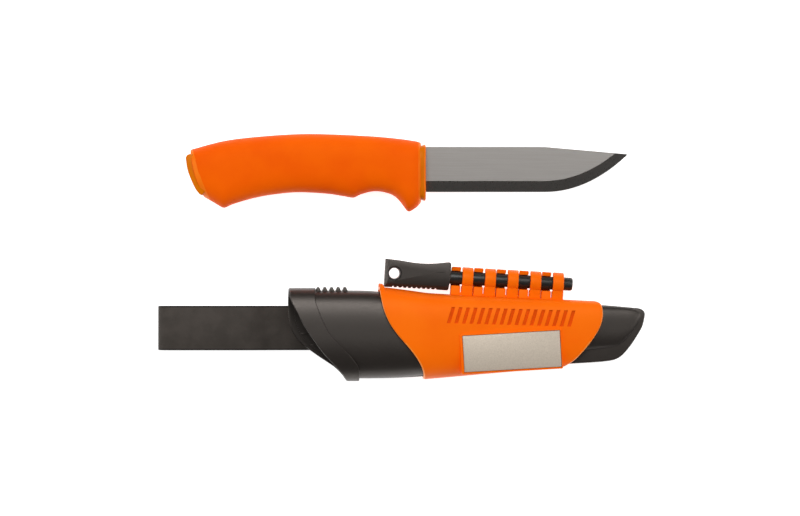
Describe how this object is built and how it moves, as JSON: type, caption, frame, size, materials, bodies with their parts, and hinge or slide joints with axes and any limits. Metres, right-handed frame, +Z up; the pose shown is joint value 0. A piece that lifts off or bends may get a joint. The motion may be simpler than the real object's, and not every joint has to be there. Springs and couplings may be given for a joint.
{
  "type": "sheath knife with sheath and fire starter",
  "caption": "Fixed-blade knife with a finger guard, laid beside its sheath, which has a belt loop, a sleeve holding a fire steel rod, and a sharpening plate.",
  "frame": {"origin": "middle of the footprint of the laid-out set, on the surface that it lies on", "axes": "+X from the belt loop to the sheath's tip and along the knife to its point; +Y from the sheath to the knife; +Z up from the surface"},
  "size_m": [0.2587, 0.1313, 0.0342],
  "materials": {
    "blade_steel": "satin ground stainless steel with a finer, darker edge bevel",
    "core_plastic": "moulded polypropylene",
    "grip_rubber": "overmoulded thermoplastic rubber, faint spark texture",
    "sheath_plastic": "satin moulded polypropylene",
    "sleeve_plastic": "satin moulded plastic",
    "strap_leather": "smooth finished strap leather with burnished edges",
    "plate_abrasive": "plate coated with fine diamond grit",
    "adhesive_tape": "foam mounting tape",
    "fire_steel": "dark coated ferrocerium",
    "rivet_steel": "turned and blackened steel"
  },
  "bodies": {
    "sheath": {"sheath_body": "sheath_plastic", "carrier_sleeve": "sleeve_plastic", "plate_tape": "adhesive_tape", "sharpener_plate": "plate_abrasive"},
    "knife": {"blade": "blade_steel", "handle_core": "core_plastic", "grip": "grip_rubber"},
    "fire_starter": {"fire_rod": "fire_steel", "rod_handle": "sheath_plastic"},
    "loop_collar": {"mouth_collar": "sheath_plastic", "rivet_post_1": "rivet_steel", "rivet_cap_1": "rivet_steel", "rivet_post_2": "rivet_steel", "rivet_cap_2": "rivet_steel", "strap_end": "strap_leather"},
    "belt_loop": {"strap_loop": "strap_leather"}
  },
  "joints": [
    {"name": "knife_draw", "type": "slide", "parent": "sheath", "child": "knife", "axis": [-1, 0, 0], "range_m": [0, 0.18]},
    {"name": "fire_starter_pull", "type": "slide", "parent": "sheath", "child": "fire_starter", "axis": [-0.9969, 0.0583, 0.0532], "range_m": [0, 0.065]},
    {"name": "collar_removal", "type": "slide", "parent": "sheath", "child": "loop_collar", "axis": [-0.9986, 0, 0.0533], "range_m": [0, 0.045]},
    {"name": "loop_swing", "type": "hinge", "parent": "loop_collar", "child": "belt_loop", "pos_m": [-0.0636, -0.0375, 0.00529], "axis": [0, 1, 0], "range_deg": [0, 75]}
  ]
}
